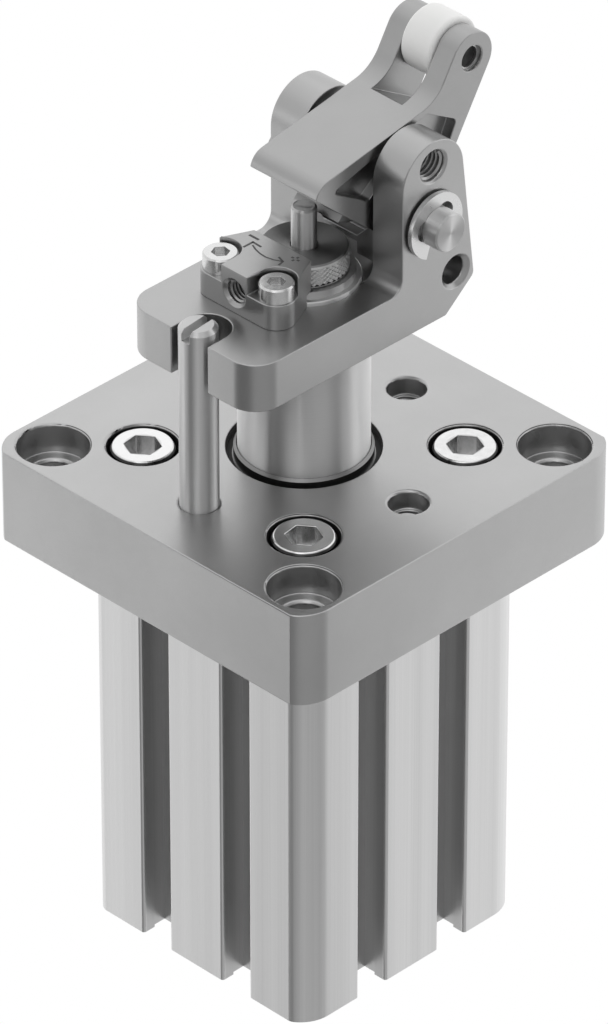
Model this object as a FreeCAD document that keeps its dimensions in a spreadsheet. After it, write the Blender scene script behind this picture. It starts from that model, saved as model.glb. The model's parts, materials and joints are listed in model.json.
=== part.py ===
import FreeCAD, Part
import math
import os
import re

import Sketcher
from FreeCAD import Rotation, Vector

# Pallet stopper: a lift cylinder whose rod carries a tilting lever with a roller.
# +Z is up, the origin is on the rod's axis at the barrel's lower face. The pallet comes
# from +X, meets the roller and tilts the lever against a shock absorber in the rod.

# Driving sizes in millimetres and degrees.
SIZES = {
    # barrel, a square profile with two T-slots a side
    "barrel_width": 74.6,
    "barrel_height": 110.0,
    "corner_round": 9.5,
    "bore": 50.0,
    "slot_offset": 13.8,
    "slot_mouth": 9.2,
    "slot_inside": 10.6,
    "slot_lip": 3.7,
    "slot_depth": 7.8,
    "port_thread": 9.7,
    "port_duct": 5.0,
    "port_depth": 8.0,
    "port_low": 21.0,
    "port_high": 101.5,
    # end cap, its snap ring and seal
    "cap_bottom": 3.2,
    "cap_thick": 9.8,
    "cap_recess": 15.0,
    "cap_recess_deep": 2.0,
    "ring_thick": 1.8,
    "ring_bite": 1.2,
    "ring_wide": 3.6,
    "ring_gap": 9.0,
    "seal_groove": 2.6,
    "seal_depth": 2.0,
    # flange
    "flange_width": 106.5,
    "flange_thick": 25.5,
    "spigot_drop": 6.0,
    "fix_pitch": 84.8,
    "fix_bore": 11.0,
    "fix_seat": 8.0,
    "seat_break": 0.7,
    "screw_pitch": 54.5,
    "head_pocket": 17.6,
    "screw_recess": 0.1,
    "screw_size": 10.0,
    "screw_head": 16.0,
    "screw_head_high": 10.0,
    "screw_socket": 8.0,
    "screw_grip": 16.0,
    "edge_break": 0.5,
    # guide pin and the four stepped holes it can stand in
    "pin_radius": 35.0,
    "pin_size": 9.6,
    "pin_seat": 5.0,
    "pin_thread": 7.9,
    "pin_screw": 12.0,
    "pin_top": 50.3,
    "pin_point": 1.0,
    "pin_driver": 2.4,
    "pin_driver_deep": 3.0,
    "pin_turn": 5.0,
    # rod, its bearing, seal and wiper
    "rod_size": 32.0,
    "rod_reach": 35.0,
    "collar_size": 27.6,
    "collar_up": 1.0,
    "rod_core": 20.6,
    "core_deep": 64.0,
    "bush_wall": 2.0,
    "bush_long": 20.0,
    "rod_seal_long": 4.5,
    "rod_seal_wall": 4.0,
    "wiper_wall": 2.8,
    "wiper_long": 4.5,
    "wiper_lip": 1.0,
    "wiper_lip_wall": 0.95,
    "wiper_slope": 0.7,
    "wiper_open": 0.25,
    # piston
    "piston_top": 10.0,
    "piston_long": 18.0,
    "piston_spigot": 22.0,
    "nut_flats": 32.0,
    "nut_thick": 6.0,
    # carrier: a plate with a slotted nose and two ears
    "plate_half": 22.0,
    "plate_thick": 13.0,
    "nose_reach": 38.0,
    "nose_round": 7.5,
    "pin_slot": 12.0,
    "pin_slot_end": 32.2,
    "ear_thick": 9.9,
    "ear_front": 10.7,
    "ear_back": 35.1,
    "ear_height": 27.1,
    "ear_round_at": 20.9,
    "ear_round": 10.2,
    "ear_fillet": 3.8,
    "heel_start": 25.7,
    "heel_rise": 7.7,
    "ear_thread": 7.9,
    "ear_thread_mouth": 9.1,
    "ear_thread_up": 30.6,
    "low_hole_at": 28.8,
    "low_hole_drop": 2.1,
    "low_hole": 7.0,
    "low_hole_mouth": 9.3,
    # lever, in the pivot's own frame
    "pivot_out": 20.45,
    "pivot_up": 15.2,
    "lever_half": 11.0,
    "tip_out": 24.55,
    "tip_up": 30.0,
    "tip_round": 6.8,
    "arm_lean": 58.9,
    "crook_out": 12.62,
    "crook_up": 23.35,
    "crook_round": 11.0,
    "nose_out": 22.8,
    "nose_up": 12.33,
    "nose_edge": 4.7,
    "chin_out": 27.45,
    "chin_up": 13.3,
    "heel_round": 14.5,
    "heel_front": 8.45,
    "heel_top": 3.3,
    "heel_low": 11.9,
    "heel_back": 6.42,
    "heel_back_low": 13.05,
    "channel_half": 5.6,
    "channel_top": 8.7,
    "heel_step_deep": 3.0,
    "heel_step_low": 6.9,
    "heel_step_top": 3.6,
    "heel_step_half": 8.9,
    "tooth_tip_out": 16.8,
    "tooth_tip_up": 1.05,
    "tooth_front_out": 15.1,
    "tooth_front_up": 2.6,
    "tooth_low_out": 13.4,
    "tooth_low_down": 0.55,
    "tooth_back_out": 11.7,
    "tooth_back_down": 0.6,
    "tooth_root": 2.0,
    "tooth_half": 7.5,
    "roller_slot": 10.2,
    "slot_floor": 15.6,
    "recess_deep": 3.0,
    "recess_round": 1.5,
    "recess_tip_out": 22.0,
    "recess_tip_up": 12.9,
    "recess_low_out": 10.1,
    "recess_low_up": 5.6,
    "recess_boss_out": 5.5,
    "recess_boss_up": 9.2,
    "recess_boss_round": 6.0,
    "recess_arm_out": 8.0,
    "recess_arm_up": 8.6,
    "recess_end_out": 16.2,
    "recess_end_up": 8.4,
    "recess_far_out": 19.6,
    "recess_far_up": 15.3,
    "recess_top_out": 9.4,
    "recess_top_up": 21.2,
    # lever axle and its clips
    "axle_size": 10.0,
    "axle_stub": 6.4,
    "axle_point": 0.4,
    "clip_thick": 1.2,
    "clip_size": 17.2,
    "clip_off": 0.6,
    "clip_bore": 8.0,
    "clip_mouth": 5.4,
    "clip_flare": 0.76,
    "clip_window_in": 2.1,
    "clip_window_out": 6.4,
    "clip_window_half": 3.7,
    "clip_window_round": 2.4,
    "clip_window_turn": 26.0,
    "clip_turn": 22.0,
    # roller
    "roller_size": 16.4,
    "roller_wide": 9.8,
    "roller_edge": 1.0,
    "roller_pin": 6.4,
    "roller_pin_in": 2.0,
    "pin_mouth": 7.0,
    "pin_ring_thick": 0.8,
    "pin_ring_wall": 0.9,
    "pin_ring_gap": 2.0,
    # shock absorber
    "absorber_size": 20.4,
    "absorber_long": 58.0,
    "absorber_flange": 24.8,
    "absorber_flange_high": 2.0,
    "absorber_neck": 17.0,
    "absorber_neck_high": 4.0,
    "absorber_bore": 14.0,
    "absorber_floor": 6.0,
    "gland_long": 12.0,
    "plunger_size": 6.2,
    "plunger_up": 19.5,
    "plunger_point": 0.5,
    "plunger_head": 8.0,
    "plunger_head_down": 33.0,
    "knob_size": 21.8,
    "knob_lift": 0.2,
    "knob_high": 5.7,
    "knob_roof": 1.4,
    "knob_edge": 0.7,
    "knob_hole": 6.8,
    # clamp block
    "block_back": 7.05,
    "block_back_half": 9.5,
    "block_high": 11.6,
    "block_roof": 1.7,
    "block_corner": 4.8,
    "clamp_out": 18.4,
    "clamp_side": 9.3,
    "clamp_seat": 6.75,
    "notch": 10.0,
    "clamp_size": 5.0,
    "clamp_head": 8.7,
    "clamp_head_high": 4.0,
    "clamp_socket": 4.0,
    "clamp_grip": 10.0,
    "block_thread": 5.9,
    "block_thread_mouth": 7.7,
    "block_thread_up": 5.5,
    "block_thread_deep": 8.4,
    "block_nose_hole": 4.2,
    # shares of a screw, and how much deeper than it its thread is cut
    "head_edge_share": 0.08,
    "socket_share": 0.55,
    "thread_over": 2.0,
    # clearances
    "slide_gap": 0.03,
    "turn_gap": 0.06,
    "press_gap": 0.01,
    "thread_gap": 0.05,
    "hole_gap": 0.5,
    "part_gap": 0.2,
    "beyond": 5.0,
}

doc = FreeCAD.newDocument("PalletStopper")
sheet = doc.addObject("Spreadsheet::Sheet", "Sizes")
for row, (size_name, size) in enumerate(SIZES.items(), start=1):
    sheet.set(f"A{row}", size_name.replace("_", " "))
    sheet.set(f"B{row}", str(size))
    sheet.setAlias(f"B{row}", size_name)
doc.recompute()

# Heights that many pieces share, as formulas over the sizes.
FLANGE_TOP = "(barrel_height + flange_thick)"
PLATE_LOW = f"({FLANGE_TOP} + rod_reach)"
PLATE_TOP = f"({PLATE_LOW} + plate_thick)"
PIVOT_HIGH = f"({PLATE_TOP} + pivot_up)"
COLLAR_TOP = f"({PLATE_TOP} + collar_up)"
ABSORBER_TOP = f"({COLLAR_TOP} + absorber_flange_high)"
KNOB_LOW = f"({ABSORBER_TOP} + knob_lift)"
KNOB_TOP = f"({KNOB_LOW} + knob_high)"
BLOCK_TOP = f"({PLATE_TOP} + block_high)"
CLAMP_SEAT = f"({PLATE_TOP} + clamp_seat)"
PISTON_TOP = "(barrel_height - piston_top)"
PISTON_LOW = f"({PISTON_TOP} - piston_long)"
EAR_INSIDE = "(plate_half - ear_thick)"


def formula(text):
    """Points every size named in a formula at its cell."""
    return re.sub(r"[a-z_]+", lambda word: f"Sizes.{word[0]}" if word[0] in SIZES else word[0], text)


def number(text):
    """What a formula comes to now, for a sketch's first guess."""
    return float(sheet.evalExpression(formula(text)))


def drive(thing, path, text):
    thing.setExpression(path, formula(text))


def new_body(name):
    body = doc.addObject("PartDesign::Body", name)
    body.Label = name
    return body


def new_sketch(body, name, role, offset="0"):
    """A sketch on one of the body's own origin planes, moved along its normal."""
    sketch = body.newObject("Sketcher::SketchObject", name)
    plane = next(item for item in body.Origin.OriginFeatures if item.Role == role)
    sketch.AttachmentSupport = [(plane, "")]
    sketch.MapMode = "FlatFace"
    drive(sketch, "AttachmentOffset.Base.z", offset)
    return sketch


def pin(sketch, item, end, across, up):
    """Holds a point of the sketch at two formulas, measured from the sketch's origin."""
    for kind, text in (("DistanceX", across), ("DistanceY", up)):
        index = sketch.addConstraint(Sketcher.Constraint(kind, -1, 1, item, end, number(text)))
        drive(sketch, f"Constraints[{index}]", text)


def set_radius(sketch, item, text):
    index = sketch.addConstraint(Sketcher.Constraint("Radius", item, number(text)))
    drive(sketch, f"Constraints[{index}]", text)


def circle(sketch, across, up, radius):
    shape = Part.Circle(Vector(number(across), number(up), 0), Vector(0, 0, 1), number(radius))
    item = sketch.addGeometry(shape)
    pin(sketch, item, 3, across, up)
    set_radius(sketch, item, radius)


class Corner:
    """A point of an outline, with an optional rounding."""

    def __init__(self, across, up, rounding=None):
        self.across, self.up, self.rounding = across, up, rounding
        self.centre = Vector(number(across), number(up), 0)
        self.turn = 0.0


class Wheel:
    """A circle that an outline runs round: anticlockwise for turn 1, clockwise for turn -1."""

    def __init__(self, across, up, radius, turn=1):
        self.across, self.up, self.radius = across, up, radius
        self.centre = Vector(number(across), number(up), 0)
        self.turn = turn * number(radius)


def tangent_line(first, last):
    """Ends of the straight run that leaves one element and meets the next, both touched."""
    gap = last.centre - first.centre
    heading = math.atan2(gap.y, gap.x) - math.asin((last.turn - first.turn) / gap.Length)
    left = Vector(-math.sin(heading), math.cos(heading), 0)
    return first.centre - left * first.turn, last.centre - left * last.turn


def arc_between(centre, start, end, anticlockwise):
    """The arc from start to end, and which of its ends the start is."""
    radius = (start - centre).Length
    angles = [math.atan2(spot.y - centre.y, spot.x - centre.x) for spot in (start, end)]
    if not anticlockwise:
        angles.reverse()
    if angles[1] < angles[0]:
        angles[1] += 2 * math.pi
    ring = Part.Circle(centre, Vector(0, 0, 1), radius)
    return Part.ArcOfCircle(ring, *angles), (1, 2) if anticlockwise else (2, 1)


def outline(sketch, elements):
    """Closed outline of straight runs, anticlockwise, through corners and round wheels."""
    count = len(elements)
    runs = [list(tangent_line(elements[k], elements[(k + 1) % count])) for k in range(count)]
    arcs = {}
    for k, element in enumerate(elements):
        before, after = runs[k - 1], runs[k]
        if isinstance(element, Corner) and element.rounding:
            back = (before[0] - element.centre).normalize()
            ahead = (after[1] - element.centre).normalize()
            opening = back.getAngle(ahead)
            radius = number(element.rounding)
            reach = radius / math.tan(opening / 2)
            before[1] = element.centre + back * reach
            after[0] = element.centre + ahead * reach
            middle = element.centre + (back + ahead).normalize() * (radius / math.sin(opening / 2))
            left_turn = back.cross(ahead).z < 0
            arcs[k] = (middle, before[1], after[0], left_turn)
        elif isinstance(element, Wheel):
            arcs[k] = (element.centre, before[1], after[0], element.turn > 0)
    lines = [sketch.addGeometry(Part.LineSegment(*run)) for run in runs]
    for k, element in enumerate(elements):
        before, after = lines[k - 1], lines[k]
        if k not in arcs:
            sketch.addConstraint(Sketcher.Constraint("Coincident", before, 2, after, 1))
            pin(sketch, after, 1, element.across, element.up)
            continue
        shape, (entry, leave) = arc_between(*arcs[k])
        arc = sketch.addGeometry(shape)
        sketch.addConstraint(Sketcher.Constraint("Tangent", before, 2, arc, entry))
        sketch.addConstraint(Sketcher.Constraint("Tangent", arc, leave, after, 1))
        if isinstance(element, Wheel):
            pin(sketch, arc, 3, element.across, element.up)
            set_radius(sketch, arc, element.radius)
        else:
            point = sketch.addGeometry(Part.Point(element.centre), True)
            pin(sketch, point, 1, element.across, element.up)
            sketch.addConstraint(Sketcher.Constraint("PointOnObject", point, 1, before))
            sketch.addConstraint(Sketcher.Constraint("PointOnObject", point, 1, after))
            set_radius(sketch, arc, element.rounding)


def rectangle(sketch, left, right, low, high, rounding=None):
    spots = ((left, low), (right, low), (right, high), (left, high))
    outline(sketch, [Corner(*spot, rounding) for spot in spots])


def polygon(sketch, points):
    outline(sketch, [Corner(*point) for point in points])


def pad(body, sketch, length, both_ways=False, against_normal=False):
    feature = body.newObject("PartDesign::Pad", f"{sketch.Name}_pad")
    feature.Profile = sketch
    feature.Midplane = both_ways
    feature.Reversed = against_normal
    drive(feature, "Length", length)
    return feature


def pocket(body, sketch, length, both_ways=False, along_normal=False):
    """Cuts the sketch away, against its normal unless told otherwise."""
    feature = body.newObject("PartDesign::Pocket", f"{sketch.Name}_cut")
    feature.Profile = sketch
    feature.Midplane = both_ways
    feature.Reversed = along_normal
    drive(feature, "Length", length)
    return feature


def four_times(body, feature):
    """Repeats a feature at each quarter turn about the rod's axis."""
    pattern = body.newObject("PartDesign::PolarPattern", f"{feature.Name}_four")
    pattern.Originals = [feature]
    axis = next(item for item in body.Origin.OriginFeatures if item.Role == "Z_Axis")
    pattern.Axis = (axis, [""])
    pattern.Angle = 360
    pattern.Occurrences = 4
    body.Tip = pattern
    return pattern


HEADINGS = {"+x": (1, 0), "-x": (-1, 0), "+y": (0, 1), "-y": (0, -1)}


def drill(body, name, role, offset, start, heading, steps):
    """Turned hole from start along a heading in the sketch plane; steps are (depth, radius)."""
    sketch = new_sketch(body, name, role, offset)
    along, aside = HEADINGS[heading], HEADINGS["+y" if "x" in heading else "+x"]

    def spot(depth, radius):
        across = f"{start[0]} + ({depth}) * {along[0]} + ({radius}) * {aside[0]}"
        up = f"{start[1]} + ({depth}) * {along[1]} + ({radius}) * {aside[1]}"
        return across, up

    profile = [("0", "0")] + list(steps) + [(steps[-1][0], "0")]
    axis_ends = [spot("0", "0"), spot(steps[-1][0], "0")]
    ends = [Vector(number(across), number(up), 0) for across, up in axis_ends]
    axis = sketch.addGeometry(Part.LineSegment(*ends), True)
    for end, place in enumerate(axis_ends, start=1):
        pin(sketch, axis, end, *place)
    polygon(sketch, [spot(*step) for step in profile])
    feature = body.newObject("PartDesign::Groove", f"{name}_hole")
    feature.Profile = sketch
    feature.ReferenceAxis = (sketch, ["Axis0"])
    feature.Angle = 360
    return feature


def turned(name, profile):
    """A body turned about its own Z axis from (radius, height) points."""
    body = new_body(name)
    sketch = new_sketch(body, f"{name}_profile", "XZ_Plane")
    outline(sketch, [Corner(*point) for point in profile])
    feature = body.newObject("PartDesign::Revolution", f"{name}_turn")
    feature.Profile = sketch
    feature.ReferenceAxis = (sketch, ["V_Axis"])
    feature.Angle = 360
    return body


def groove(body, name, profile):
    """Cuts a turned recess from (radius, height) points about the body's Z axis."""
    sketch = new_sketch(body, name, "XZ_Plane")
    outline(sketch, [Corner(*point) for point in profile])
    feature = body.newObject("PartDesign::Groove", f"{name}_cut")
    feature.Profile = sketch
    feature.ReferenceAxis = (sketch, ["V_Axis"])
    feature.Angle = 360
    return feature


def hexagon(sketch, flats, turn):
    """A hexagon about the sketch's origin, by its width across flats and a turn in degrees."""
    points = []
    for k in range(6):
        angle = f"({turn} + 60 * {k})"
        reach = f"({flats}) / 2 / cos(30)"
        points.append((f"{reach} * cos({angle})", f"{reach} * sin({angle})"))
    polygon(sketch, points)


def on_pivot(body, out="0", up="0"):
    """Lays a turned body across the stopper, its own Z along -Y, at a place from the pivot."""
    body.Placement.Rotation = Rotation(Vector(1, 0, 0), 90)
    drive(body, "Placement.Base.x", f"pivot_out + ({out})")
    drive(body, "Placement.Base.z", f"{PIVOT_HIGH} + ({up})")


def group(name, piece, places):
    """Copies of one piece as separate solids of one node, at (x, y, z) formulas."""
    links = []
    for place in places:
        link = doc.addObject("App::Link", f"{piece.Name}_copy")
        link.LinkedObject = piece
        link.LinkTransform = True
        for axis, text in zip("xyz", place):
            drive(link, f"Placement.Base.{axis}", text)
        links.append(link)
    compound = doc.addObject("Part::Compound", name)
    compound.Links = links
    compound.Label = name
    return compound


def square_outline(body, name, width, low, high):
    """A square block rounded at its corners, its X faces cut a little inside the rounding."""
    half = f"({width}) / 2"
    trim = f"({half} + corner_round * (1 - cos(30)))"
    sketch = new_sketch(body, name, "XY_Plane", low)
    rectangle(sketch, f"-{trim}", trim, f"-{half}", half, "corner_round")
    pad(body, sketch, f"{high} - {low}")
    sides = new_sketch(body, f"{name}_sides", "XY_Plane", high)
    for sign in ("-", ""):
        edges = [f"{sign}{half}", f"{sign}({half} + beyond)"]
        if sign:
            edges.reverse()
        rectangle(sides, *edges, f"-{half}", half)
    pocket(body, sides, f"{high} - {low}")


def socket_screw(name, size, head, head_high, socket, grip, turn):
    """Socket-head screw, its head's seat at height 0 and its shank below."""
    screw = turned(name, [
        ("0", f"-({grip})"),
        (f"{size} / 2 - edge_break", f"-({grip})"),
        (f"{size} / 2 - thread_gap", f"-({grip}) + edge_break"),
        (f"{size} / 2 - thread_gap", "0"),
        (f"{head} / 2", "0"),
        (f"{head} / 2", f"{head_high} - {size} * head_edge_share"),
        (f"{head} / 2 - {size} * head_edge_share", head_high),
        ("0", head_high),
    ])
    sketch = new_sketch(screw, f"{name}_socket", "XY_Plane", head_high)
    hexagon(sketch, socket, turn)
    pocket(screw, sketch, f"{head_high} * socket_share")
    return screw


def make_barrel():
    body = new_body("barrel")
    square_outline(body, "barrel_section", "barrel_width", "0", "barrel_height")
    half = "barrel_width / 2"
    slots = new_sketch(body, "slot_sections", "XY_Plane", "barrel_height")
    for sign in (-1, 1):
        middle = f"slot_offset * {sign}"
        mouth, inside = "slot_mouth / 2", "slot_inside / 2"
        lip, floor = f"-{half} + slot_lip", f"-{half} + slot_depth"
        polygon(slots, [
            (f"-{half} - beyond", f"{middle} - {mouth}"),
            (lip, f"{middle} - {mouth}"),
            (lip, f"{middle} - {inside}"),
            (floor, f"{middle} - {inside}"),
            (floor, f"{middle} + {inside}"),
            (lip, f"{middle} + {inside}"),
            (lip, f"{middle} + {mouth}"),
            (f"-{half} - beyond", f"{middle} + {mouth}"),
        ])
    four_times(body, pocket(body, slots, "barrel_height"))
    ring_low = "(cap_bottom - ring_thick)"
    groove(body, "cylinder_bore", [
        ("0", "0"),
        ("bore / 2 + edge_break", "0"),
        ("bore / 2", "edge_break"),
        ("bore / 2", ring_low),
        ("bore / 2 + ring_bite", ring_low),
        ("bore / 2 + ring_bite", "cap_bottom"),
        ("bore / 2", "cap_bottom"),
        ("bore / 2", "barrel_height"),
        ("0", "barrel_height"),
    ])
    hole = drill(body, "barrel_thread", "XZ_Plane", "-screw_pitch / 2",
                 ("screw_pitch / 2", "barrel_height"), "-y",
                 [("0", "screw_size / 2"), ("screw_grip + 2 * edge_break + thread_over", "screw_size / 2")])
    four_times(body, hole)
    for name, height in (("low_port", "port_low"), ("high_port", "port_high")):
        drill(body, name, "YZ_Plane", "0", (half, height), "-x", [
            ("0", "port_thread / 2 + edge_break"),
            ("edge_break", "port_thread / 2"),
            ("port_depth", "port_thread / 2"),
            ("port_depth", "port_duct / 2"),
            ("(barrel_width - bore) / 2 + port_duct / 2", "port_duct / 2"),
        ])
    return body


def seal_groove(body, name, radius, low):
    """A square groove round a turned piece for one of the ring seals."""
    inside = f"{radius} - seal_depth"
    groove(body, name, [
        (inside, low),
        (f"{radius} + beyond", low),
        (f"{radius} + beyond", f"{low} + seal_groove"),
        (inside, f"{low} + seal_groove"),
    ])


def ring_seal(name, radius, low):
    """The seal that fills such a groove and just clears the wall it slides or sits in."""
    outside, inside = f"{radius} - slide_gap", f"{radius} - seal_depth"
    return turned(name, [
        (inside, f"{low} + slide_gap"),
        (outside, f"{low} + slide_gap"),
        (outside, f"{low} + seal_groove - slide_gap"),
        (inside, f"{low} + seal_groove - slide_gap"),
    ])


def make_end_cap():
    radius, low, high = "(bore / 2 - slide_gap)", "cap_bottom", "(cap_bottom + cap_thick)"
    body = turned("end_cap", [
        ("0", f"{low} + cap_recess_deep"),
        ("cap_recess", f"{low} + cap_recess_deep"),
        ("cap_recess", low),
        (f"{radius} - edge_break", low),
        (radius, f"{low} + edge_break"),
        (radius, f"{high} - edge_break"),
        (f"{radius} - edge_break", high),
        ("0", high),
    ])
    seal_groove(body, "cap_seal_groove", radius, "(cap_bottom + cap_thick / 2)")
    seal = ring_seal("end_cap_seal", radius, "(cap_bottom + cap_thick / 2)")

    ring = new_body("snap_ring")
    sketch = new_sketch(ring, "snap_ring_outline", "XY_Plane", "cap_bottom - ring_thick")
    outside = "bore / 2 + ring_bite - slide_gap"
    circle(sketch, "0", "0", outside)
    circle(sketch, "0", "0", f"{outside} - ring_wide")
    pad(ring, sketch, "ring_thick")
    cut = new_sketch(ring, "snap_ring_gap", "XY_Plane", "cap_bottom")
    rectangle(cut, "-ring_gap / 2", "ring_gap / 2", "-bore / 2 - beyond", "-bore / 2 + beyond")
    pocket(ring, cut, "ring_thick")
    return [body, seal, ring]


def make_flange():
    body = new_body("flange_plate")
    square_outline(body, "flange_outline", "flange_width", "barrel_height", FLANGE_TOP)
    spigot = "(bore / 2 - slide_gap)"
    sketch = new_sketch(body, "flange_spigot", "XY_Plane", "barrel_height")
    circle(sketch, "0", "0", spigot)
    pad(body, sketch, "spigot_drop", against_normal=True)
    seal_groove(body, "flange_seal_groove", spigot, "(barrel_height - spigot_drop / 2 - seal_groove / 2)")

    low, seal_low = "(barrel_height - spigot_drop)", f"({FLANGE_TOP} - wiper_long - rod_seal_long)"
    bush = "(rod_size / 2 + bush_wall)"
    seal_wall, shoulder = "(rod_size / 2 + rod_seal_wall)", "(rod_size / 2 + hole_gap)"
    wiper_pocket, wiper_bore = "(rod_size / 2 + wiper_wall)", "(rod_size / 2 + slide_gap)"
    groove(body, "rod_bore", [
        ("0", low),
        (bush, low),
        (bush, f"{low} + bush_long"),
        (shoulder, f"{low} + bush_long"),
        (shoulder, seal_low),
        (seal_wall, seal_low),
        (seal_wall, f"{FLANGE_TOP} - wiper_long"),
        (wiper_pocket, f"{FLANGE_TOP} - wiper_long"),
        (wiper_pocket, FLANGE_TOP),
        ("0", FLANGE_TOP),
    ])
    deep = "flange_thick + beyond"
    for name, pitch, seat in (("fixing", "fix_pitch", "fix_seat"),
                              ("screw_seat", "screw_pitch", "screw_head_high + screw_recess")):
        hole = drill(body, name, "XZ_Plane", f"-{pitch} / 2", (f"{pitch} / 2", FLANGE_TOP), "-y", [
            ("0", "head_pocket / 2 + edge_break"),
            ("edge_break", "head_pocket / 2"),
            (seat, "head_pocket / 2"),
            (seat, "fix_bore / 2 + seat_break"),
            (f"{seat} + seat_break", "fix_bore / 2"),
            (deep, "fix_bore / 2"),
        ])
        four_times(body, hole)
    hole = drill(body, "pin_hole", "XZ_Plane", "0", ("pin_radius", FLANGE_TOP), "-y", [
        ("0", "pin_size / 2 + edge_break"),
        ("edge_break", "pin_size / 2"),
        ("pin_seat", "pin_size / 2"),
        ("pin_seat", "pin_thread / 2"),
        ("pin_seat + pin_screw + thread_over", "pin_thread / 2"),
    ])
    four_times(body, hole)

    seal = ring_seal("flange_seal", spigot, "(barrel_height - spigot_drop / 2 - seal_groove / 2)")
    bush_ring = turned("rod_bush", [
        ("rod_size / 2 + slide_gap", f"{low} + part_gap"),
        (f"{bush} - press_gap", f"{low} + part_gap"),
        (f"{bush} - press_gap", f"{low} + bush_long"),
        ("rod_size / 2 + slide_gap", f"{low} + bush_long"),
    ])
    rod_seal = turned("rod_seal", [
        ("rod_size / 2 + slide_gap", f"{seal_low} + edge_break"),
        (f"{seal_wall} - 3 * edge_break", seal_low),
        (f"{seal_wall} - press_gap", seal_low),
        (f"{seal_wall} - press_gap", f"{FLANGE_TOP} - wiper_long"),
        ("rod_size / 2 + slide_gap", f"{FLANGE_TOP} - wiper_long"),
    ])
    lip_outside = "(rod_size / 2 + wiper_lip_wall)"
    wiper = turned("rod_wiper", [
        (wiper_bore, f"{FLANGE_TOP} - wiper_long"),
        (f"{wiper_pocket} - press_gap", f"{FLANGE_TOP} - wiper_long"),
        (f"{wiper_pocket} - press_gap", f"{FLANGE_TOP} - wiper_long / 2"),
        (lip_outside, f"{FLANGE_TOP} - wiper_long / 2"),
        (lip_outside, f"{FLANGE_TOP} + wiper_lip - wiper_slope"),
        (f"{wiper_bore} + wiper_open", f"{FLANGE_TOP} + wiper_lip"),
        (wiper_bore, f"{FLANGE_TOP} + wiper_lip - wiper_slope"),
    ])
    screw = socket_screw("flange_screw", "screw_size", "screw_head", "screw_head_high", "screw_socket",
                         "flange_thick - screw_recess - screw_head_high + screw_grip", "7")
    quarter = "screw_pitch / 2"
    seat = f"{FLANGE_TOP} - screw_recess - screw_head_high"
    places = [(f"{a}{quarter}", f"{b}{quarter}", seat) for a in ("-", "") for b in ("-", "")]
    return [body, seal, bush_ring, rod_seal, wiper, group("flange_screws", screw, places)]


def make_guide_pin():
    top, low = f"({FLANGE_TOP} + pin_top)", f"({FLANGE_TOP} - pin_seat)"
    radius, thread = "(pin_size / 2 - press_gap)", "(pin_thread / 2 - press_gap)"
    body = turned("guide_pin", [
        ("0", f"{low} - pin_screw"),
        (f"{thread} - edge_break", f"{low} - pin_screw"),
        (thread, f"{low} - pin_screw + edge_break"),
        (thread, low),
        (radius, low),
        (radius, f"{top} - pin_point"),
        (f"{radius} - pin_point", top),
        ("0", top),
    ])
    sketch = new_sketch(body, "driver_slot", "XY_Plane", top)
    rectangle(sketch, "-pin_size", "pin_size", "-pin_driver / 2", "pin_driver / 2")
    pocket(body, sketch, "pin_driver_deep")
    body.Placement.Rotation = Rotation(Vector(0, 0, 1), SIZES["pin_turn"])
    drive(body, "Placement.Base.x", "-pin_radius")
    return body


def make_piston():
    radius = "(bore / 2 - 8 * slide_gap)"
    spigot = "piston_spigot / 2"
    body = turned("piston", [
        (f"{spigot} + press_gap", PISTON_LOW),
        (f"{radius} - edge_break", PISTON_LOW),
        (radius, f"{PISTON_LOW} + edge_break"),
        (radius, f"{PISTON_TOP} - edge_break"),
        (f"{radius} - edge_break", PISTON_TOP),
        (f"{spigot} + press_gap", PISTON_TOP),
    ])
    pieces = [body]
    spacing = "(piston_long - 3 * seal_groove) / 4"
    for k, name in enumerate(("piston_magnet", "wear_ring", "piston_seal")):
        low = f"({PISTON_LOW} + {spacing} * {k + 1} + seal_groove * {k})"
        seal_groove(body, f"{name}_groove", radius, low)
        wall = radius if name == "piston_magnet" else "(bore / 2)"
        pieces.append(turned(name, [
            (f"{radius} - seal_depth", f"{low} + slide_gap"),
            (f"{wall} - slide_gap", f"{low} + slide_gap"),
            (f"{wall} - slide_gap", f"{low} + seal_groove - slide_gap"),
            (f"{radius} - seal_depth", f"{low} + seal_groove - slide_gap"),
        ]))
    nut = new_body("piston_nut")
    sketch = new_sketch(nut, "nut_outline", "XY_Plane", f"{PISTON_LOW} - nut_thick")
    hexagon(sketch, "nut_flats", "0")
    circle(sketch, "0", "0", f"{spigot} + press_gap")
    pad(nut, sketch, "nut_thick")
    return pieces + [nut]


def make_rod():
    spigot, radius, collar = "piston_spigot / 2", "rod_size / 2", "collar_size / 2"
    low = f"({PISTON_LOW} - nut_thick)"
    core_low = f"({COLLAR_TOP} - core_deep)"
    return turned("piston_rod", [
        ("0", low),
        (f"{spigot} - edge_break", low),
        (spigot, f"{low} + edge_break"),
        (spigot, PISTON_TOP),
        (f"{radius} - edge_break", PISTON_TOP),
        (radius, f"{PISTON_TOP} + edge_break"),
        (radius, f"{PLATE_LOW} - edge_break"),
        (f"{radius} - edge_break", PLATE_LOW),
        (collar, PLATE_LOW),
        (collar, f"{COLLAR_TOP} - edge_break / 2"),
        (f"{collar} - edge_break / 2", COLLAR_TOP),
        ("rod_core / 2", COLLAR_TOP),
        ("rod_core / 2", core_low),
        ("0", f"{core_low} - rod_core / 4"),
    ])


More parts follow.
